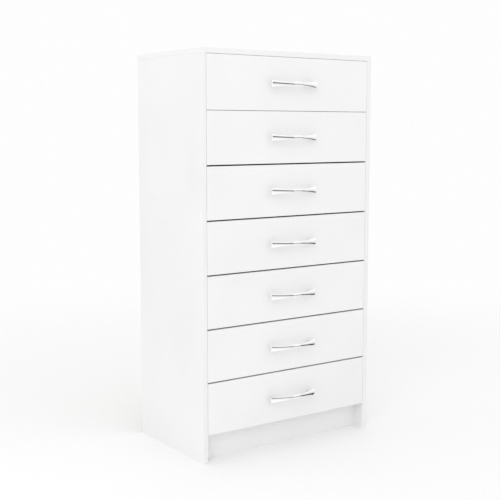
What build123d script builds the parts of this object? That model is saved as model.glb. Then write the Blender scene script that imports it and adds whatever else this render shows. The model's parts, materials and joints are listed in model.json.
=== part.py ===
from build123d import *
import os

# Tall chest of seven inset drawers, in millimetres. +Z is up, the front faces -Y and +X is to the
# right of someone who faces the front. The origin is on the floor, at the centre of the bounding box.

# ---- Driving dimensions: carcass ----
WIDTH = 600.0
DEPTH = 352.0                 # drawer fronts' faces to the rear face of the back panel
BOARD = 15.0                  # side, top, bottom, plinth and rail panels
DRAWER_COUNT = 7
DRAWER_PITCH = 150.0
PLINTH_SPACE = 76.0           # floor to the underside of the bottom panel
PLINTH_SETBACK = 36.0
BACK_THICKNESS = 3.0
BACK_INSET = 2.0              # back panel's edges, inside the carcass outline
RAIL_DEPTH = 60.0
EDGE_RADIUS = 0.8             # edge banding's rounded corners
SAME_PLANE = 0.01             # how close an edge lies to a plane to count as in it

# ---- Driving dimensions: gaps round the drawer fronts ----
FRONT_GAP = 4.0
TOP_DRAWER_GAP = 1.2          # the closer gap, under the top drawer
TOP_REVEAL = 0.8
SIDE_REVEAL = 0.8
INNER_REVEAL = 2.0            # behind the fronts, to the panels and runners they cover

# ---- Driving dimensions: drawer boxes ----
FRONT_BOARD = 15.0
BOX_BOARD = 12.0
BOX_HEADROOM = 45.0           # a drawer box's upper edge to the next box's lower edge
BOX_SIDE_CLEARANCE = 3.0      # drawer side to carcass side
BOX_FLOOR_CLEARANCE = 3.0     # lowest drawer box to the bottom panel
BOX_REAR_CLEARANCE = 13.0
BOTTOM_THICKNESS = 3.0
BOTTOM_LIFT = 8.0             # drawer side's lower edge to the drawer bottom
BOTTOM_GROOVE_DEPTH = 5.0
GROOVE_CLEARANCE = 0.3

# ---- Driving dimensions: runners ----
RUNNER_HEIGHT = 12.0
RUNNER_LIFT = 46.0            # drawer side's lower edge to the underside of the runner
RUNNER_BITE = 6.5             # how far a runner reaches into the drawer side
RUNNER_TOP_CLEARANCE = 0.3
RUNNER_SIDE_CLEARANCE = 0.5
RUNNER_REAR_GAP = 20.0
RUNNER_SCREW_INSET = 35.0
RUNNER_CHAMFER = 1.0

# ---- Driving dimensions: handle ----
HANDLE_CENTRES = 128.0        # between its two screws
HANDLE_OVERHANG = 16.0        # each screw to the handle's end
HANDLE_PROJECTION = 33.0      # drawer front to the crest of the grip
HANDLE_END_PROJECTION = 18.0  # drawer front to the outer face of the grip's ends
HANDLE_END_HEIGHT = 20.0
HANDLE_WAIST_HEIGHT = 11.0
HANDLE_THICKNESS = 5.5
HANDLE_POST_RADIUS = 4.5
HANDLE_KNUCKLE = 28.0         # length of the plain middle part
HANDLE_GROOVE_DEPTH = 1.0     # notches between the middle part and the arms
HANDLE_GROOVE_WIDTH = 1.5
HANDLE_ARM_HOLLOW = 1.0       # how far an arm's edge curves in from a straight taper
HANDLE_ROUNDING = 2.0
HANDLE_STATIONS = 5           # cross-sections along each arm, less one

# ---- Driving dimensions: fasteners ----
HOLE_CLEARANCE = 0.1          # radial, round every screw, bolt, nail and cam
CAM_RADIUS = 7.4
CAM_BACKSET = 24.0            # joint face to the cam's centre
CAM_FACE_WALL = 3.0           # board left behind a cam's pocket
CAM_SLOT_LENGTH = 9.0
CAM_SLOT_WIDTH = 1.2
CAM_SLOT_DEPTH = 1.0
BOLT_THREAD_RADIUS = 2.5
BOLT_THREAD = 10.0
BOLT_SHANK_RADIUS = 2.4
BOLT_HEAD_RADIUS = 3.0
BOLT_HEAD = 3.0
JOINT_INSET = 40.0            # panel joints' cams, from the front and rear edges
SCREW_RADIUS = 1.75
SCREW_HEAD_RADIUS = 3.5
SCREW_HEAD = 2.0
RECESS_WIDTH = 0.8            # cross recess in a screw's head
RECESS_DEPTH = 1.0
RECESS_SPAN = 0.6             # its length, as a share of the head's width
RUNNER_SCREW_LENGTH = 20.0
BACK_SCREW_LENGTH = 35.0
BOTTOM_SCREW_LENGTH = 16.0
HANDLE_SCREW_RADIUS = 2.0
HANDLE_SCREW_HEAD_RADIUS = 4.0
HANDLE_SCREW_BITE = 8.0       # how far a handle screw reaches into the handle
NAIL_RADIUS = 0.7
NAIL_HEAD_RADIUS = 2.2
NAIL_HEAD = 0.8
NAIL_LENGTH = 20.0
NAIL_SPACING = 150.0

# ---- Worked out from the driving dimensions ----
HEIGHT = PLINTH_SPACE + DRAWER_COUNT * DRAWER_PITCH + BOARD
FRONT_Y = (HANDLE_PROJECTION - DEPTH) / 2
REAR_Y = FRONT_Y + DEPTH
PANEL_REAR_Y = REAR_Y - BACK_THICKNESS
FRONT_REAR_Y = FRONT_Y + FRONT_BOARD
INNER_WIDTH = WIDTH - 2 * BOARD
INNER_FRONT_Y = FRONT_REAR_Y + INNER_REVEAL
SIDE_HEIGHT = HEIGHT - BOARD
FRONT_WIDTH = INNER_WIDTH - 2 * SIDE_REVEAL
FRONT_HEIGHT = DRAWER_PITCH - FRONT_GAP
BOX_HEIGHT = DRAWER_PITCH - BOX_HEADROOM
BOX_WIDTH = INNER_WIDTH - 2 * BOX_SIDE_CLEARANCE
BOX_INNER_WIDTH = BOX_WIDTH - 2 * BOX_BOARD
BOX_REAR_Y = PANEL_REAR_Y - BOX_REAR_CLEARANCE
RUNNER_THICKNESS = BOX_SIDE_CLEARANCE + RUNNER_BITE
RUNNER_REAR_Y = PANEL_REAR_Y - RUNNER_REAR_GAP
TRACK_LOW = RUNNER_LIFT - RUNNER_SIDE_CLEARANCE
TRACK_HIGH = RUNNER_LIFT + RUNNER_HEIGHT + RUNNER_TOP_CLEARANCE
GROOVE_HIGH = BOTTOM_LIFT + BOTTOM_THICKNESS + GROOVE_CLEARANCE
JOINT_LIFTS = ((GROOVE_HIGH + TRACK_LOW) / 2, (TRACK_HIGH + BOX_HEIGHT) / 2)
HANDLE_LENGTH = HANDLE_CENTRES + 2 * HANDLE_OVERHANG
DRAWER_NUMBERS = range(1, DRAWER_COUNT + 1)
SIDES = (("left", -1), ("right", 1))


# ---- Helpers ----
def block(x0, x1, y0, y1, z0, z1):
    """A box between two corners."""
    size = (abs(x1 - x0), abs(y1 - y0), abs(z1 - z0))
    return Pos((x0 + x1) / 2, (y0 + y1) / 2, (z0 + z1) / 2) * Box(*size)


def frame_at(x, y, z, toward, up=(1, 0, 0)):
    """A placement whose local Z points along toward and whose local X points along up."""
    return Plane(origin=(x, y, z), x_dir=up, z_dir=toward).location


def rod(radius, start, end):
    """A round bar on the local Z axis, from start to end."""
    return Pos(0, 0, (start + end) / 2) * Cylinder(radius, abs(end - start))


def edges_at(solid, axis, place):
    """The straight edges of a panel that lie in one plane across an axis."""
    return solid.edges().filter_by_position(axis, place - SAME_PLANE, place + SAME_PLANE)


def solids_of(*shapes):
    """All solids of some shapes, as a plain list."""
    return [solid for shape in shapes for solid in shape.solids()]


def cross_recess(head_radius, top):
    """The cut of a cross recess, below the top of a screw's head."""
    arm = Box(2 * head_radius * RECESS_SPAN, RECESS_WIDTH, 2 * RECESS_DEPTH)
    return Pos(0, 0, top) * (arm + Rot(0, 0, 90) * arm)


def countersunk_screw(radius, head_radius, head, length, grow=0.0):
    """A wood screw on local -Z, its flat head at Z = 0. A positive grow makes its hole."""
    cone = Pos(0, 0, -head / 2) * Cone(radius + grow, head_radius + grow, head)
    screw = cone + rod(radius + grow, -head, -length - grow)
    return screw if grow else screw - cross_recess(head_radius, 0)


def pan_screw(radius, head_radius, head, length):
    """A screw with a domed head above Z = 0 and its shank on local -Z."""
    dome = Pos(0, 0, head / 2) * Cylinder(head_radius, head)
    dome = fillet(dome.edges().filter_by_position(Axis.Z, head, head), head / 2)
    return dome + rod(radius, 0, -length) - cross_recess(head_radius, head)


def nail(grow=0.0):
    """A panel nail on local -Z, its head flush with Z = 0. A positive grow makes its hole."""
    head = rod(NAIL_HEAD_RADIUS + grow, 0, -NAIL_HEAD)
    return head + rod(NAIL_RADIUS + grow, -NAIL_HEAD, -NAIL_LENGTH - grow)


def cam_set(board):
    """Cam and bolt of one joint, with the cuts they need.

    The joint face is local Z = 0, the board that holds the cam lies on +Z with its middle on the
    axis, and the cam's pocket opens on its +X face.
    """
    depth = board - CAM_FACE_WALL
    across = Pos(board / 2 - depth / 2, 0, CAM_BACKSET) * Rot(0, 90, 0)
    head_start = CAM_BACKSET - BOLT_HEAD / 2
    bolt = rod(BOLT_THREAD_RADIUS, -BOLT_THREAD, 0) + rod(BOLT_SHANK_RADIUS, 0, head_start)
    bolt += rod(BOLT_HEAD_RADIUS, head_start, head_start + BOLT_HEAD)
    mouth = rod(BOLT_HEAD_RADIUS + HOLE_CLEARANCE, 0, head_start + BOLT_HEAD + HOLE_CLEARANCE)
    cam = across * Cylinder(CAM_RADIUS, depth) - mouth
    slot = Box(2 * CAM_SLOT_DEPTH, CAM_SLOT_LENGTH, CAM_SLOT_WIDTH)
    cam -= Pos(board / 2, 0, CAM_BACKSET) * (slot + Rot(90, 0, 0) * slot)
    cuts = across * Cylinder(CAM_RADIUS + HOLE_CLEARANCE, depth) + mouth
    pilot = rod(BOLT_THREAD_RADIUS + HOLE_CLEARANCE, -BOLT_THREAD - HOLE_CLEARANCE, 0)
    return cam, bolt, cuts, pilot


def save(name, solids):
    """Writes one node's STEP file."""
    shape = solids[0] if len(solids) == 1 else Compound(children=solids)
    shape.label = name
    export_step(shape, f"parts/{name}.step")


# ---- Where things are ----
def front_top(number):
    """Upper edge of a drawer front. Drawer 1 is the top one."""
    return SIDE_HEIGHT - TOP_REVEAL - (number - 1) * DRAWER_PITCH


def front_bottom(number):
    if number == 1:
        return front_top(2) + TOP_DRAWER_GAP
    return front_top(number) - FRONT_HEIGHT


def box_bottom(number):
    """Lower edge of a drawer's sides."""
    lowest = PLINTH_SPACE + BOARD + BOX_FLOOR_CLEARANCE
    return lowest + (DRAWER_COUNT - number) * DRAWER_PITCH


def panel_joints():
    """Every cam joint of the carcass: board with the cam, panel with the bolt, placement."""
    spots = []
    front_and_rear = (FRONT_REAR_Y + JOINT_INSET, PANEL_REAR_Y - JOINT_INSET)
    for side, sign in SIDES:
        inner = sign * INNER_WIDTH / 2
        into = (-sign, 0, 0)
        for y in front_and_rear:
            at_top = frame_at(inner + sign * BOARD / 2, y, SIDE_HEIGHT, (0, 0, -1), into)
            spots.append((f"{side}_side_panel", "top_panel", at_top))
            z = PLINTH_SPACE + BOARD / 2
            spots.append(("bottom_panel", f"{side}_side_panel", frame_at(inner, y, z, into, (0, 0, -1))))
        plinth_y = FRONT_Y + PLINTH_SETBACK + BOARD / 2
        at_plinth = frame_at(inner, plinth_y, PLINTH_SPACE / 2, into, (0, 1, 0))
        spots.append(("front_plinth", f"{side}_side_panel", at_plinth))
        rail_y = INNER_FRONT_Y + RAIL_DEPTH / 2
        at_rail = frame_at(inner, rail_y, rail_z(), into, (0, 0, -1))
        spots.append(("cross_rail", f"{side}_side_panel", at_rail))
    return spots


def rail_z():
    """Middle of the cross rail, level with the gap under the top drawer."""
    return front_top(2) + FRONT_GAP / 2


def runner_screw_spots():
    """Placement of each runner screw, its head on the runner's inner face."""
    spots = []
    for number in DRAWER_NUMBERS:
        z = box_bottom(number) + RUNNER_LIFT + RUNNER_HEIGHT / 2
        for side, sign in SIDES:
            x = sign * (INNER_WIDTH / 2 - RUNNER_THICKNESS)
            for y in (INNER_FRONT_Y + RUNNER_SCREW_INSET, RUNNER_REAR_Y - RUNNER_SCREW_INSET):
                spots.append((side, frame_at(x, y, z, (-sign, 0, 0), (0, 1, 0))))
    return spots


def spread(low, high):
    """Even places from low to high, no further apart than the nail spacing."""
    steps = int((high - low) / NAIL_SPACING) + 1
    return [low + (high - low) * step / steps for step in range(steps + 1)]


def nail_spots():
    """Placement of each back panel nail: the panel it enters and where."""
    spots = []
    top_z = HEIGHT - BOARD / 2
    bottom_z = PLINTH_SPACE + BOARD / 2
    reach = (WIDTH - BOARD) / 2
    for side, sign in SIDES:
        for z in spread(bottom_z, top_z)[1:-1]:
            spots.append((f"{side}_side_panel", sign * reach, z))
    for x in spread(-reach, reach)[1:-1]:
        spots.append(("top_panel", x, top_z))
        spots.append(("bottom_panel", x, bottom_z))
    return [(panel, frame_at(x, REAR_Y, z, (0, 1, 0))) for panel, x, z in spots]


# ---- Carcass ----
def side_panel(sign):
    inner = sign * INNER_WIDTH / 2
    panel = block(inner, inner + sign * BOARD, FRONT_Y, PANEL_REAR_Y, 0, SIDE_HEIGHT)
    outline = edges_at(panel, Axis.Y, FRONT_Y).filter_by(Axis.Z)
    outline += edges_at(panel, Axis.X, sign * WIDTH / 2).filter_by(Axis.Y).sort_by(Axis.Z)[-1:]
    return fillet(outline, EDGE_RADIUS)


def top_panel():
    panel = block(-WIDTH / 2, WIDTH / 2, FRONT_Y, PANEL_REAR_Y, SIDE_HEIGHT, HEIGHT)
    outline = edges_at(panel, Axis.Z, HEIGHT) + edges_at(panel, Axis.Z, SIDE_HEIGHT).filter_by(Axis.Y)
    return fillet(outline, EDGE_RADIUS)


def carcass_panels():
    """Every carcass board by name, before its holes are cut."""
    half = INNER_WIDTH / 2
    plinth_y = FRONT_Y + PLINTH_SETBACK
    rail_low = rail_z() - BOARD / 2
    back_half = WIDTH / 2 - BACK_INSET
    boards = {f"{side}_side_panel": side_panel(sign) for side, sign in SIDES}
    boards["top_panel"] = top_panel()
    boards["bottom_panel"] = block(
        -half, half, INNER_FRONT_Y, PANEL_REAR_Y, PLINTH_SPACE, PLINTH_SPACE + BOARD)
    boards["front_plinth"] = block(-half, half, plinth_y, plinth_y + BOARD, 0, PLINTH_SPACE)
    boards["cross_rail"] = block(
        -half, half, INNER_FRONT_Y, INNER_FRONT_Y + RAIL_DEPTH, rail_low, rail_low + BOARD)
    boards["back_panel"] = block(
        -back_half, back_half, PANEL_REAR_Y, REAR_Y, PLINTH_SPACE + BACK_INSET, HEIGHT - BACK_INSET)
    return boards


def runner(number, sign):
    low = box_bottom(number) + RUNNER_LIFT
    inner = sign * INNER_WIDTH / 2
    strip = block(inner, inner - sign * RUNNER_THICKNESS, INNER_FRONT_Y, RUNNER_REAR_Y,
                  low, low + RUNNER_HEIGHT)
    nose = edges_at(strip, Axis.X, inner - sign * RUNNER_THICKNESS)
    return chamfer(nose, RUNNER_CHAMFER)


def build_carcass():
    boards = carcass_panels()
    cuts = {name: [] for name in boards}
    fittings = []
    for cam_board, bolt_board, place in panel_joints():
        cam, bolt, pocket, pilot = cam_set(BOARD)
        fittings += [place * cam, place * bolt]
        cuts[cam_board].append(place * pocket)
        cuts[bolt_board].append(place * pilot)

    strips = []
    for number in DRAWER_NUMBERS:
        strips += [runner(number, sign) for side, sign in SIDES]
    sizes = (SCREW_RADIUS, SCREW_HEAD_RADIUS, SCREW_HEAD, RUNNER_SCREW_LENGTH)
    screws = []
    holes = []
    for side, place in runner_screw_spots():
        screws.append(place * countersunk_screw(*sizes))
        holes.append(place * countersunk_screw(*sizes, grow=HOLE_CLEARANCE))
        cuts[f"{side}_side_panel"].append(holes[-1])

    nails = []
    for panel, place in nail_spots():
        nails.append(place * nail())
        hole = place * nail(grow=HOLE_CLEARANCE)
        cuts["back_panel"].append(hole)
        cuts[panel].append(hole)

    for name, board in boards.items():
        save(name, solids_of(board - cuts[name]))
    save("drawer_runners", [cut_near(strip, holes) for strip in strips])
    save("runner_screws", solids_of(*screws))
    save("cam_fittings", solids_of(*fittings))
    save("back_panel_nails", solids_of(*nails))


def cut_near(strip, holes):
    """Cuts a runner with the holes that lie on it."""
    box = strip.bounding_box()
    near = [hole for hole in holes if box.min.Z < hole.center().Z < box.max.Z
            and hole.center().X * strip.center().X > 0]
    return solids_of(strip - near)[0]


# ---- Drawers ----
def grip_height(x):
    """Drawer front to the outer face of the grip, at a distance from its middle."""
    rise = HANDLE_PROJECTION - HANDLE_END_PROJECTION
    radius = (HANDLE_LENGTH ** 2 / 4 + rise ** 2) / (2 * rise)
    return HANDLE_PROJECTION - radius + (radius ** 2 - x ** 2) ** 0.5


def grip_section(x, half_height):
    """The grip's rounded cross-section at a distance from its middle."""
    y = HANDLE_THICKNESS / 2 - grip_height(x)
    plane = Plane(origin=(x, y, 0), x_dir=(0, 1, 0), z_dir=(1, 0, 0))
    return plane * RectangleRounded(HANDLE_THICKNESS, 2 * half_height, HANDLE_ROUNDING)


def handle_solid():
    """Bow handle: a curved grip towards -Y on two posts that stand on local Y = 0."""
    half = HANDLE_LENGTH / 2
    waist = HANDLE_WAIST_HEIGHT / 2
    knuckle = HANDLE_KNUCKLE / 2
    shoulder = knuckle - HANDLE_GROOVE_WIDTH
    throat = waist - HANDLE_GROOVE_DEPTH
    flare = HANDLE_END_HEIGHT / 2 - throat
    arm = []
    for station in range(HANDLE_STATIONS + 1):
        t = station / HANDLE_STATIONS
        half_height = throat + flare * t - HANDLE_ARM_HOLLOW * 4 * t * (1 - t)
        arm.append(grip_section(knuckle + (half - knuckle) * t, half_height))
    middle = [grip_section(0, waist), grip_section(shoulder, waist), grip_section(knuckle, throat)]
    side = loft(arm) + loft(middle, ruled=True)
    handle = side + mirror(side, Plane.YZ)
    for turn in (1, -1):
        x = turn * HANDLE_CENTRES / 2
        foot = frame_at(x, 0, 0, (0, -1, 0))
        handle += foot * rod(HANDLE_POST_RADIUS, 0, grip_height(x) - HANDLE_THICKNESS / 2)
        handle -= foot * rod(HANDLE_SCREW_RADIUS + HOLE_CLEARANCE, 0,
                             HANDLE_SCREW_BITE + HOLE_CLEARANCE)
    return handle


def drawer_front(number):
    low = front_bottom(number)
    half = FRONT_WIDTH / 2
    board = block(-half, half, FRONT_Y, FRONT_REAR_Y, low, front_top(number))
    board = fillet(edges_at(board, Axis.Y, FRONT_Y), EDGE_RADIUS)
    box_low = box_bottom(number)
    reach = BOX_INNER_WIDTH / 2 + BOTTOM_GROOVE_DEPTH
    groove = block(-reach, reach, FRONT_REAR_Y - BOTTOM_GROOVE_DEPTH, FRONT_REAR_Y,
                   box_low + BOTTOM_LIFT, box_low + GROOVE_HIGH)
    return board - groove


def drawer_side(number, sign):
    low = box_bottom(number)
    outer = sign * BOX_WIDTH / 2
    inner = outer - sign * BOX_BOARD
    board = block(outer, inner, FRONT_REAR_Y, BOX_REAR_Y, low, low + BOX_HEIGHT)
    board = fillet(edges_at(board, Axis.Z, low + BOX_HEIGHT).filter_by(Axis.Y), EDGE_RADIUS)
    track = block(outer, outer - sign * (RUNNER_BITE + RUNNER_SIDE_CLEARANCE),
                  FRONT_REAR_Y, BOX_REAR_Y, low + TRACK_LOW, low + TRACK_HIGH)
    groove = block(inner, inner + sign * BOTTOM_GROOVE_DEPTH, FRONT_REAR_Y, BOX_REAR_Y,
                   low + BOTTOM_LIFT, low + GROOVE_HIGH)
    return board - track - groove


def drawer_back(number):
    low = box_bottom(number)
    half = BOX_INNER_WIDTH / 2
    return block(-half, half, BOX_REAR_Y - BOX_BOARD, BOX_REAR_Y,
                 low + BOTTOM_LIFT + BOTTOM_THICKNESS, low + BOX_HEIGHT)


def drawer_bottom(number):
    low = box_bottom(number) + BOTTOM_LIFT
    half = BOX_INNER_WIDTH / 2 + BOTTOM_GROOVE_DEPTH - GROOVE_CLEARANCE
    front = FRONT_REAR_Y - BOTTOM_GROOVE_DEPTH + GROOVE_CLEARANCE
    return block(-half, half, front, BOX_REAR_Y, low, low + BOTTOM_THICKNESS)


def corner_joints(number, boards):
    """Joins the sides to the front with cams and to the back with screws. Returns the fasteners."""
    fasteners = []
    back_screw = (SCREW_RADIUS, SCREW_HEAD_RADIUS, SCREW_HEAD, BACK_SCREW_LENGTH)
    for side, sign in SIDES:
        middle_x = sign * (BOX_WIDTH - BOX_BOARD) / 2
        for lift in JOINT_LIFTS:
            z = box_bottom(number) + lift
            cam, bolt, pocket, pilot = cam_set(BOX_BOARD)
            place = frame_at(middle_x, FRONT_REAR_Y, z, (0, 1, 0), (-sign, 0, 0))
            boards[f"{side}_side"] -= place * pocket
            boards["front"] -= place * pilot
            fasteners += [place * cam, place * bolt]

            place = frame_at(sign * BOX_WIDTH / 2, BOX_REAR_Y - BOX_BOARD / 2, z, (sign, 0, 0), (0, 1, 0))
            hole = place * countersunk_screw(*back_screw, grow=HOLE_CLEARANCE)
            boards[f"{side}_side"] -= hole
            boards["back"] -= hole
            fasteners.append(place * countersunk_screw(*back_screw))
    return fasteners


def bottom_screws(number, boards):
    """Screws the drawer bottom up into the lower edge of the back."""
    fasteners = []
    z = box_bottom(number) + BOTTOM_LIFT
    for x in (-BOX_INNER_WIDTH / 3, 0, BOX_INNER_WIDTH / 3):
        place = frame_at(x, BOX_REAR_Y - BOX_BOARD / 2, z, (0, 0, -1))
        hole = place * rod(SCREW_RADIUS + HOLE_CLEARANCE, 0, -BOTTOM_SCREW_LENGTH - HOLE_CLEARANCE)
        boards["bottom"] -= hole
        boards["back"] -= hole
        screw = pan_screw(SCREW_RADIUS, SCREW_HEAD_RADIUS, SCREW_HEAD, BOTTOM_SCREW_LENGTH)
        fasteners.append(place * screw)
    return fasteners


def handle_screws(middle_z, boards):
    """Screws the handle on from behind the front."""
    fasteners = []
    screw = pan_screw(HANDLE_SCREW_RADIUS, HANDLE_SCREW_HEAD_RADIUS, SCREW_HEAD,
                      FRONT_BOARD + HANDLE_SCREW_BITE)
    for turn in (1, -1):
        place = frame_at(turn * HANDLE_CENTRES / 2, FRONT_REAR_Y, middle_z, (0, 1, 0))
        boards["front"] -= place * rod(HANDLE_SCREW_RADIUS + HOLE_CLEARANCE, 0, -FRONT_BOARD)
        fasteners.append(place * screw)
    return fasteners


def build_drawer(number, handle):
    middle_z = (front_top(number) + front_bottom(number)) / 2
    boards = {
        "front": drawer_front(number),
        "left_side": drawer_side(number, -1),
        "right_side": drawer_side(number, 1),
        "back": drawer_back(number),
        "bottom": drawer_bottom(number),
    }
    fasteners = corner_joints(number, boards)
    fasteners += bottom_screws(number, boards)
    fasteners += handle_screws(middle_z, boards)
    for name, board in boards.items():
        save(f"drawer_{number}_{name}", solids_of(board))
    save(f"drawer_{number}_handle", solids_of(Pos(0, FRONT_Y, middle_z) * handle))
    save(f"drawer_{number}_fasteners", solids_of(*fasteners))


def main():
    os.makedirs("parts", exist_ok=True)
    build_carcass()
    handle = handle_solid()
    for number in DRAWER_NUMBERS:
        build_drawer(number, handle)


main()
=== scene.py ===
"""Looks of the tall white chest of drawers: board, chrome, plastic and zinc finishes, the bow
handles as fine meshes, and a plain studio. Everything is in metres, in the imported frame."""

import json
import math

import bmesh
import bpy
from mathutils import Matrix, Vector

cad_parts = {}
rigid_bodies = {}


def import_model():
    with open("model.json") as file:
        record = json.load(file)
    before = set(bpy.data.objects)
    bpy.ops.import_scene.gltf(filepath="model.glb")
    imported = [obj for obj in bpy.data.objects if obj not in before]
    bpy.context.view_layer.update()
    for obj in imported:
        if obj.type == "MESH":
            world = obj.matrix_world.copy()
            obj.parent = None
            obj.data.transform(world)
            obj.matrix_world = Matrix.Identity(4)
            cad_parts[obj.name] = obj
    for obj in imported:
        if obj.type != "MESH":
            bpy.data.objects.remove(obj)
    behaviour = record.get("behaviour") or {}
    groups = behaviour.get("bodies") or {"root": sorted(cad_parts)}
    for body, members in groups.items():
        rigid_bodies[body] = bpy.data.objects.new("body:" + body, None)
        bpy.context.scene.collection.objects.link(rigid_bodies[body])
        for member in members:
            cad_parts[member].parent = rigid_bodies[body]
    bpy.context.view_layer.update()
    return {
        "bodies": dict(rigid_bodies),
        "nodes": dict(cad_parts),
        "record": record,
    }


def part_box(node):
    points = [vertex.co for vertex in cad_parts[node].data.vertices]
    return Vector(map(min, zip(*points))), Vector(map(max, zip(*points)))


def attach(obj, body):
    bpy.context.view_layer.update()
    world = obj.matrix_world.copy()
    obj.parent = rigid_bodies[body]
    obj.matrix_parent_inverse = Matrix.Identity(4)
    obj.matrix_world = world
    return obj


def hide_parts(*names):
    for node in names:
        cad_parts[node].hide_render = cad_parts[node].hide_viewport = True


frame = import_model()
MM = 0.001

DRAWERS = [name for name in frame["bodies"] if name.startswith("drawer_")]
SLOT_OF = {row["node"]: row["material_slot"] for row in frame["record"]["subparts"]}
FRONT_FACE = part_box("drawer_1_front")[0].y
REAR_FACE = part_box("back_panel")[1].y
CHEST_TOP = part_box("top_panel")[1].z

# ---- Camera: where it stands from the middle of the chest's front, at floor level ----
CAMERA_LEFT = 1.6915
CAMERA_AWAY = 2.2054
CAMERA_HEIGHT = 0.9251
CAMERA_YAW = 35.08              # degrees to the right of straight at the front
CAMERA_PITCH = -7.095           # degrees above the horizon
CAMERA_LENS = 69.9              # focal length in millimetres

# ---- Studio: the floor, the softbox and the surroundings ----
WORLD_STRENGTH = 0.985
FLOOR_RADIUS = 14.0
FLOOR_SEGMENTS = 96
FLOOR_TONE = 0.935
FLOOR_FADE_START = 1.0          # distances from the chest's middle
FLOOR_FADE_END = 3.0
SOFTBOX_SIZE = 2.4
SOFTBOX_WATTS = 31.0
SOFTBOX_LEFT = 3.0
SOFTBOX_AWAY = 2.4              # in front of the drawer fronts
SOFTBOX_ABOVE = 1.5             # over the top panel
SOFTBOX_AIM = 0.5               # as a share of the chest's height
# The band is a ring around DARK_BAND_ACROSS. Its sizes are cosines of the angle to that direction.
DARK_BAND_ACROSS = (0.417, 0.228, 0.879)
DARK_BAND_MIDDLE = -0.07
DARK_BAND_HALF = 0.085
DARK_BAND_SOFT = 0.03           # width of its soft edge
DARK_BAND_LEVEL = 0.07          # its brightness, as a share of the white's
GLOSS_NEAR_BAND = 0.80          # brightness of the reflected white beside the band
GLOSS_FAR_FROM_BAND = 1.15
GLOSS_REACH = 0.55              # from the band's middle to where that begins


# ---- Node helpers ----
class Tree:
    """A node tree, with short calls to add and join nodes."""

    def __init__(self, owner):
        owner.use_nodes = True
        self.nodes = owner.node_tree.nodes
        self.links = owner.node_tree.links
        self.places = self.add("ShaderNodeTexCoord").outputs

    def add(self, kind, **settings):
        node = self.nodes.new(kind)
        for key, value in settings.items():
            setattr(node, key, value)
        return node

    def join(self, source, target):
        self.links.new(source, target)

    def feed(self, sockets, values):
        """Sets each socket to its colour or number, or joins it to its source."""
        for socket, value in zip(sockets, values):
            if isinstance(value, tuple):
                socket.default_value = (*value, 1.0)
            elif isinstance(value, (int, float)):
                socket.default_value = value
            else:
                self.join(value, socket)

    def ramp(self, value, low, high, out_low=0.0, out_high=1.0, smooth=False):
        """Maps low to out_low and high to out_high, and keeps within them."""
        kind = "SMOOTHSTEP" if smooth else "LINEAR"
        node = self.add("ShaderNodeMapRange", interpolation_type=kind, clamp=True)
        limits = {"From Min": low, "From Max": high, "To Min": out_low, "To Max": out_high}
        for key, number in limits.items():
            node.inputs[key].default_value = number
        self.join(value, node.inputs["Value"])
        return node.outputs["Result"]

    def math(self, operation, *values):
        node = self.add("ShaderNodeMath", operation=operation)
        self.feed(node.inputs, values)
        return node.outputs["Value"]


class Shader(Tree):
    """A material's node tree around its Principled shader."""

    def __init__(self, name):
        self.material = bpy.data.materials.new(name)
        super().__init__(self.material)
        self.bsdf = self.nodes["Principled BSDF"]
        self.place = self.places["Object"]
        self.normal = self.places["Normal"]

    def surface(self, **values):
        """Sets constant inputs of the surface shader by name, with _ for spaces."""
        for key, value in values.items():
            self.bsdf.inputs[key.replace("_", " ")].default_value = value

    def stretched(self, stretch):
        """The place on the piece, with a texture's grain drawn out by 1 / stretch."""
        if stretch is None:
            return self.place
        node = self.add("ShaderNodeMapping")
        node.inputs["Scale"].default_value = stretch
        self.join(self.place, node.inputs["Vector"])
        return node.outputs["Vector"]

    def noise(self, scale, detail=3.0, roughness=0.55, stretch=None):
        node = self.add("ShaderNodeTexNoise")
        node.inputs["Scale"].default_value = scale
        node.inputs["Detail"].default_value = detail
        node.inputs["Roughness"].default_value = roughness
        self.join(self.stretched(stretch), node.inputs["Vector"])
        return node.outputs["Fac"]

    def cells(self, scale, feature="F1", stretch=None):
        node = self.add("ShaderNodeTexVoronoi", feature=feature)
        node.inputs["Scale"].default_value = scale
        self.join(self.stretched(stretch), node.inputs["Vector"])
        return node

    def axis(self, vector, letter):
        node = self.add("ShaderNodeSeparateXYZ")
        self.join(vector, node.inputs["Vector"])
        return node.outputs[letter]

    def faces(self, letter, low, high):
        """From 0 to 1 as the surface turns towards an axis."""
        return self.ramp(self.axis(self.normal, letter), low, high)

    def faces_against(self, letter, low, high):
        """From 0 to 1 as the surface turns against an axis."""
        turn = self.axis(self.normal, letter)
        return self.ramp(turn, -high, -low, out_low=1.0, out_high=0.0)

    def blend(self, factor, a, b):
        """Mixes two colours. Each may be a tuple or a socket."""
        node = self.add("ShaderNodeMix", data_type="RGBA")
        self.feed([s for s in node.inputs if s.type == "RGBA"], (a, b))
        self.join(factor, node.inputs["Factor"])
        return next(s for s in node.outputs if s.type == "RGBA")

    def bump(self, height, distance, strength):
        node = self.add("ShaderNodeBump")
        node.inputs["Strength"].default_value = strength
        node.inputs["Distance"].default_value = distance
        self.join(height, node.inputs["Height"])
        self.join(node.outputs["Normal"], self.bsdf.inputs["Normal"])

    def colour(self, socket):
        self.join(socket, self.bsdf.inputs["Base Color"])

    def rough(self, socket):
        self.join(socket, self.bsdf.inputs["Roughness"])


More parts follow.
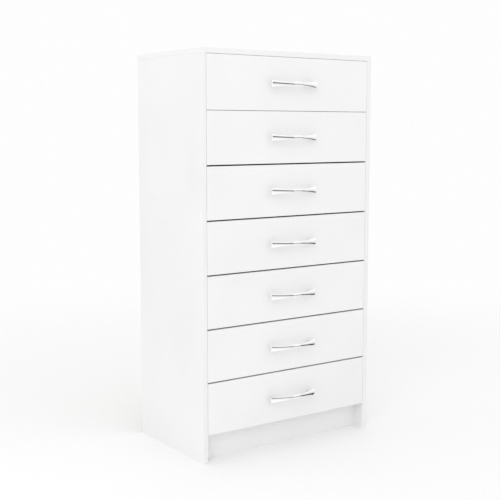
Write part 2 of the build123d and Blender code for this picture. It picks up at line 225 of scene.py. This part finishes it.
# ---- Materials ----
NOISE_MIDDLE = (0.3, 0.7)       # the range that most of a noise's values lie in
NOISE_CORE = (0.35, 0.65)       # a narrower one, for more contrast
FLAT_ON = (0.85, 0.95)          # how far a normal lies along an axis, on faces and not on edges
HALF_ON = (0.4, 0.6)
BAND_THICKNESS = 0.5 * MM
BAND_SHADE = 0.965              # the edge band's tone, as a share of the board's
CLOUD_SHADE = 0.975             # the same for the board's darker clouds
BARE_EDGE_START = 6 * MM        # depths from the back panel's outside
BARE_EDGE_FULL = 5 * MM
BARE_ROUGHNESS = 0.9
DIMPLE_SHARE = 0.6
BOARD_WHITE = (0.8765, 0.8745, 0.8765)
FOIL_WHITE = (0.845, 0.845, 0.835)
CHIP_DARK = (0.30, 0.20, 0.12)
CHIP_LIGHT = (0.62, 0.47, 0.31)
HARDBOARD_DARK = (0.50, 0.485, 0.455)
HARDBOARD_LIGHT = (0.66, 0.645, 0.615)
PAINT_LIGHT = (0.84, 0.84, 0.825)
PAINT_DARK = (0.80, 0.80, 0.785)
CHROME_CLEAR = (0.912, 0.915, 0.918)
CHROME_HAZY = (0.882, 0.886, 0.892)
ZINC_LIGHT = (0.66, 0.67, 0.70)
ZINC_DARK = (0.52, 0.53, 0.55)
PLASTIC_LIGHT = (0.80, 0.80, 0.78)
PLASTIC_DARK = (0.76, 0.76, 0.735)


def shaded(tone, share):
    return tuple(channel * share for channel in tone)


def chipboard(shader):
    """Colour of a raw chipboard edge: pressed flakes of several browns."""
    flakes = shader.cells(scale=420.0, stretch=(1.0, 1.0, 2.2))
    fine = shader.noise(scale=900.0, detail=4.0)
    mixed = shader.math("MULTIPLY", shader.axis(flakes.outputs["Color"], "X"), fine)
    return shader.blend(shader.ramp(mixed, low=0.05, high=0.5), CHIP_DARK, CHIP_LIGHT)


def melamine(name, tone, carcass=False):
    """White melamine-faced board: pearl texture and faint cloudiness.

    Carcass boards have a smoother, slightly greyer edge band on their front edges and bare
    chipboard on their rear ones.
    """
    shader = Shader(name)
    cloud = shader.noise(scale=3.5, detail=2.0)
    white = shader.blend(shader.ramp(cloud, *NOISE_CORE), tone, shaded(tone, CLOUD_SHADE))
    pearl = shader.noise(scale=1600.0, detail=2.0)
    dimples = shader.cells(scale=1100.0, feature="SMOOTH_F1").outputs["Distance"]
    smear = shader.noise(scale=9.0, detail=4.0)
    roughness = shader.ramp(smear, *NOISE_MIDDLE, out_low=0.34, out_high=0.44)
    texture = shader.math("ADD", pearl, shader.math("MULTIPLY", dimples, DIMPLE_SHARE))
    if carcass:
        depth = shader.axis(shader.place, "Y")
        front = FRONT_FACE + BAND_THICKNESS
        in_front = shader.ramp(depth, front, front + MM, out_low=1.0, out_high=0.0)
        banded = shader.math("MULTIPLY", shader.faces_against("Y", *FLAT_ON), in_front)
        behind = shader.ramp(depth, REAR_FACE - BARE_EDGE_START, REAR_FACE - BARE_EDGE_FULL)
        bare = shader.math("MULTIPLY", shader.faces("Y", *FLAT_ON), behind)
        white = shader.blend(banded, white, shaded(tone, BAND_SHADE))
        white = shader.blend(bare, white, chipboard(shader))
        bare_roughness = shader.math("MULTIPLY", bare, BARE_ROUGHNESS)
        roughness = shader.math("MAXIMUM", roughness, bare_roughness)
        texture = shader.math("MULTIPLY", texture, shader.math("SUBTRACT", 1.0, banded))
    shader.colour(white)
    shader.rough(roughness)
    shader.bump(texture, distance=0.02 * MM, strength=0.5)
    shader.surface(Specular_IOR_Level=0.45)
    return shader.material


def thin_panel(name):
    """Hardboard: painted white towards the drawers, pale grey primed fibres on the other face."""
    shader = Shader(name)
    fibres = shader.noise(scale=260.0, detail=6.0, roughness=0.7, stretch=(1.0, 1.0, 1.6))
    specks = shader.noise(scale=1500.0, detail=2.0)
    primed = shader.blend(shader.ramp(fibres, *NOISE_CORE), HARDBOARD_DARK, HARDBOARD_LIGHT)
    painted = shader.blend(shader.ramp(specks, *NOISE_MIDDLE), PAINT_LIGHT, PAINT_DARK)
    behind = shader.faces("Y", *HALF_ON)
    beneath = shader.faces_against("Z", *HALF_ON)
    shader.colour(shader.blend(shader.math("MAXIMUM", behind, beneath), painted, primed))
    shader.rough(shader.ramp(fibres, *NOISE_MIDDLE, out_low=0.55, out_high=0.72))
    shader.bump(shader.math("ADD", fibres, specks), distance=0.06 * MM, strength=0.5)
    return shader.material


def chrome(name):
    """Polished chrome plate with faint wiping marks."""
    shader = Shader(name)
    wiping = shader.noise(scale=60.0, detail=5.0, stretch=(0.25, 1.0, 1.0))
    haze = shader.noise(scale=14.0, detail=2.0)
    marks = shader.math("MULTIPLY", wiping, haze)
    shader.rough(shader.ramp(marks, low=0.1, high=0.45, out_low=0.035, out_high=0.10))
    shader.colour(shader.blend(shader.ramp(haze, *NOISE_MIDDLE), CHROME_CLEAR, CHROME_HAZY))
    shader.surface(Metallic=1.0)
    shader.bump(wiping, distance=0.004 * MM, strength=0.3)
    return shader.material


def zinc(name):
    """Bright zinc plating with its cloudy spangle and fine tumbling marks."""
    shader = Shader(name)
    cloud = shader.noise(scale=180.0, detail=4.0)
    marks = shader.noise(scale=2200.0, detail=2.0)
    shader.colour(shader.blend(shader.ramp(cloud, *NOISE_MIDDLE), ZINC_LIGHT, ZINC_DARK))
    shader.rough(shader.ramp(marks, *NOISE_MIDDLE, out_low=0.26, out_high=0.44))
    shader.surface(Metallic=1.0)
    shader.bump(marks, distance=0.01 * MM, strength=0.4)
    return shader.material


def runner_plastic(name):
    """Moulded white plastic, a little translucent, with flow marks of uneven gloss."""
    shader = Shader(name)
    flow = shader.noise(scale=45.0, detail=3.0, stretch=(1.0, 0.2, 1.0))
    grain = shader.noise(scale=1900.0, detail=2.0)
    shader.colour(shader.blend(shader.ramp(flow, *NOISE_MIDDLE), PLASTIC_LIGHT, PLASTIC_DARK))
    shader.rough(shader.ramp(flow, *NOISE_MIDDLE, out_low=0.30, out_high=0.46))
    shader.surface(Subsurface_Weight=0.06, Subsurface_Scale=0.002)
    shader.bump(grain, distance=0.012 * MM, strength=0.4)
    return shader.material


def finishes():
    """One material for each slot of the record."""
    return {
        "carcass_board": melamine("carcass_melamine", BOARD_WHITE, carcass=True),
        "drawer_front_board": melamine("front_melamine", BOARD_WHITE),
        "drawer_box_board": melamine("box_foil", FOIL_WHITE),
        "thin_panel": thin_panel("hardboard"),
        "handle_chrome": chrome("handle_chrome"),
        "runner_plastic": runner_plastic("runner_nylon"),
        "zinc_steel": zinc("zinc_plate"),
    }


def dress_nodes(finish):
    """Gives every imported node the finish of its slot."""
    for name, node in frame["nodes"].items():
        node.data.materials.clear()
        node.data.materials.append(finish[SLOT_OF[name]])


# ---- Handles ----
ARM_STATIONS = 30
KNUCKLE_STATIONS = 7
RING_POINTS = 44
POST_POINTS = 32
POST_INSET = 16 * MM
POST_RADIUS = 4.5 * MM
POST_BEVEL = 0.3 * MM
KNUCKLE_LENGTH = 28 * MM
KNUCKLE_HEIGHT = 11 * MM
GROOVE_WIDTH = 1.5 * MM
GROOVE_DEPTH = 1.0 * MM
GRIP_THICKNESS = 5.5 * MM
END_PROJECTION = 18 * MM
ARM_HOLLOW = 1.0 * MM
DOME_RADIUS = 18 * MM           # of the arms' face
KNUCKLE_DOME_RADIUS = 5.5 * MM
END_BEVEL = 0.7 * MM
SECTION_POWER = 0.5             # 1 gives an oval section, less gives a squarer one


def grip_height(x, half, crest):
    """Drawer front to the grip's outer face: an arc from the end's height over the crest."""
    rise = crest - END_PROJECTION
    radius = (half * half + rise * rise) / (2 * rise)
    return crest - radius + math.sqrt(radius * radius - x * x)


def arm_half_height(x, half, tall):
    """Half of the grip's height: flared arms, a notch, and the plain knuckle in the middle."""
    knuckle = KNUCKLE_LENGTH / 2
    waist = KNUCKLE_HEIGHT / 2
    throat = waist - GROOVE_DEPTH
    if x < knuckle - GROOVE_WIDTH:
        return waist
    if x < knuckle:
        return waist + (throat - waist) * (x - knuckle + GROOVE_WIDTH) / GROOVE_WIDTH
    t = (x - knuckle) / (half - knuckle)
    return throat + (tall - throat) * t - ARM_HOLLOW * 4 * t * (1 - t)


def grip_stations(half):
    """Places along the grip, from end to end, closer together where its outline turns."""
    knuckle = KNUCKLE_LENGTH / 2
    right = [knuckle * i / KNUCKLE_STATIONS for i in range(KNUCKLE_STATIONS)]
    right += [knuckle - GROOVE_WIDTH, knuckle - GROOVE_WIDTH / 2, knuckle]
    right += [knuckle + (half - knuckle) * i / ARM_STATIONS for i in range(1, ARM_STATIONS + 1)]
    right = sorted(set(right + [half - END_BEVEL]))
    return [-x for x in reversed(right[1:])] + right


def grip_section(outer, tall, shrink, dome):
    """Closed ring of (height above the front, z): a domed face and a flat back."""
    deep = GRIP_THICKNESS / 2 - shrink
    middle = outer - GRIP_THICKNESS / 2
    tall -= shrink
    points = []
    for i in range(RING_POINTS):
        angle = 2 * math.pi * i / RING_POINTS
        c, s = math.cos(angle), math.sin(angle)
        z = tall * math.copysign(abs(s) ** SECTION_POWER, s)
        y = middle + deep * math.copysign(abs(c) ** SECTION_POWER, c)
        if c > 0:
            y -= min(z * z / (2 * dome), deep) * c ** SECTION_POWER
        points.append((y, z))
    return points


def add_rings(mesh, rings):
    """Skins a row of equal rings and closes both ends."""
    count = len(rings[0])
    for first, second in zip(rings, rings[1:]):
        for i in range(count):
            j = (i + 1) % count
            mesh.faces.new((first[i], second[i], second[j], first[j]))
    mesh.faces.new(rings[0])
    mesh.faces.new(list(reversed(rings[-1])))


def grip_rings(mesh, half, height, reach):
    """The grip's sections, from end to end, with bevelled ends."""
    rings = []
    for x in grip_stations(half):
        outer = grip_height(x, half, reach)
        tall = arm_half_height(abs(x), half, height / 2)
        shrink = END_BEVEL if abs(x) == half else 0.0
        dome = KNUCKLE_DOME_RADIUS if abs(x) < KNUCKLE_LENGTH / 2 else DOME_RADIUS
        ring = grip_section(outer, tall, shrink, dome)
        rings.append([mesh.verts.new((x, reach / 2 - y, z)) for y, z in ring])
    return rings


def post_rings(mesh, x, top, reach):
    """A round post at x, from its bevelled foot on the drawer front into the grip."""
    turns = [2 * math.pi * i / POST_POINTS for i in range(POST_POINTS)]
    rings = []
    for y, radius in ((0.0, POST_RADIUS - POST_BEVEL), (POST_BEVEL, POST_RADIUS),
                      (top, POST_RADIUS)):
        rings.append([mesh.verts.new((x + radius * math.cos(turn), reach / 2 - y,
                                      radius * math.sin(turn))) for turn in turns])
    return rings


def handle_mesh(name, length, height, reach):
    """Bow handle around its middle: posts from y = reach / 2, grip towards -y."""
    half = length / 2
    mesh = bmesh.new()
    add_rings(mesh, grip_rings(mesh, half, height, reach))
    for side in (-1, 1):
        x = side * (half - POST_INSET)
        top = grip_height(x, half, reach) - GRIP_THICKNESS / 2
        add_rings(mesh, post_rings(mesh, x, top, reach))
    bmesh.ops.recalc_face_normals(mesh, faces=mesh.faces)
    for face in mesh.faces:
        face.smooth = len(face.verts) == 4      # all but the closed ends
    data = bpy.data.meshes.new(name)
    mesh.to_mesh(data)
    mesh.free()
    return data


def make_handles(finish):
    """Puts a fine handle in the place of each packed one."""
    for body in DRAWERS:
        low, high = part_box(f"{body}_handle")
        size = high - low
        data = handle_mesh(f"{body}_bow_handle", size.x, size.z, size.y)
        piece = bpy.data.objects.new(f"{body}_bow_handle", data)
        bpy.context.scene.collection.objects.link(piece)
        piece.location = (low + high) / 2
        data.materials.append(finish["handle_chrome"])
        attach(piece, body)
        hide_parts(f"{body}_handle")


# ---- Studio ----
def make_floor():
    """A pale floor that fades into the backdrop's brightness away from the chest."""
    mesh = bmesh.new()
    bmesh.ops.create_circle(mesh, cap_ends=True, segments=FLOOR_SEGMENTS, radius=FLOOR_RADIUS)
    data = bpy.data.meshes.new("studio_floor")
    mesh.to_mesh(data)
    mesh.free()
    floor = bpy.data.objects.new("studio_floor", data)
    bpy.context.scene.collection.objects.link(floor)
    shader = Shader("studio_floor")
    shader.surface(Base_Color=(FLOOR_TONE, FLOOR_TONE, FLOOR_TONE, 1.0), Roughness=0.9,
                   Specular_IOR_Level=0.1)
    glow = shader.add("ShaderNodeEmission")
    glow.inputs["Strength"].default_value = WORLD_STRENGTH
    away = shader.add("ShaderNodeVectorMath", operation="LENGTH")
    shader.join(shader.place, away.inputs[0])
    fade = shader.ramp(away.outputs["Value"], FLOOR_FADE_START, FLOOR_FADE_END, smooth=True)
    mix = shader.add("ShaderNodeMixShader")
    shader.join(fade, mix.inputs["Fac"])
    shader.join(shader.bsdf.outputs["BSDF"], mix.inputs[1])
    shader.join(glow.outputs["Emission"], mix.inputs[2])
    shader.join(mix.outputs["Shader"], shader.nodes["Material Output"].inputs["Surface"])
    data.materials.append(shader.material)
    floor.visible_glossy = False


def make_world():
    """White surroundings. Reflections also find a slanting dark band in them, with a soft
    falling-off of the white towards it."""
    world = bpy.data.worlds.new("studio")
    bpy.context.scene.world = world
    tree = Tree(world)
    background = tree.nodes["Background"]
    background.inputs["Strength"].default_value = WORLD_STRENGTH
    along = tree.add("ShaderNodeVectorMath", operation="DOT_PRODUCT")
    along.inputs[1].default_value = DARK_BAND_ACROSS
    tree.join(tree.places["Generated"], along.inputs[0])
    from_middle = tree.math("SUBTRACT", along.outputs["Value"], DARK_BAND_MIDDLE)
    away = tree.math("ABSOLUTE", from_middle)
    band_end = DARK_BAND_HALF + DARK_BAND_SOFT
    band = tree.ramp(away, DARK_BAND_HALF, band_end, DARK_BAND_LEVEL, 1.0, smooth=True)
    white = tree.ramp(away, DARK_BAND_HALF, GLOSS_REACH, GLOSS_NEAR_BAND, GLOSS_FAR_FROM_BAND)
    reflected = tree.math("MULTIPLY", band, white)
    path = tree.add("ShaderNodeLightPath")
    mix = tree.add("ShaderNodeMix")
    tree.feed((mix.inputs["Factor"], mix.inputs["A"], mix.inputs["B"]),
              (path.outputs["Is Glossy Ray"], 1.0, reflected))
    tree.join(mix.outputs["Result"], background.inputs["Color"])


def make_lights():
    """One large softbox, high on the left in front of the chest."""
    light = bpy.data.lights.new("softbox", "AREA")
    light.shape = "SQUARE"
    light.size = SOFTBOX_SIZE
    light.energy = SOFTBOX_WATTS
    softbox = bpy.data.objects.new("softbox", light)
    bpy.context.scene.collection.objects.link(softbox)
    softbox.location = (-SOFTBOX_LEFT, FRONT_FACE - SOFTBOX_AWAY, CHEST_TOP + SOFTBOX_ABOVE)
    aim = Vector((0.0, 0.0, CHEST_TOP * SOFTBOX_AIM)) - softbox.location
    softbox.rotation_euler = aim.to_track_quat("-Z", "Y").to_euler()


def make_camera():
    """The photograph's viewpoint, on the left of the chest."""
    data = bpy.data.cameras.new("camera")
    data.lens = CAMERA_LENS
    camera = bpy.data.objects.new("camera", data)
    camera.location = (-CAMERA_LEFT, FRONT_FACE - CAMERA_AWAY, CAMERA_HEIGHT)
    camera.rotation_euler = (math.radians(90 + CAMERA_PITCH), 0.0, math.radians(-CAMERA_YAW))
    bpy.context.scene.collection.objects.link(camera)
    bpy.context.scene.camera = camera


finish = finishes()
dress_nodes(finish)
make_handles(finish)
make_floor()
make_world()
make_lights()
make_camera()
bpy.context.scene.view_settings.view_transform = "Standard"
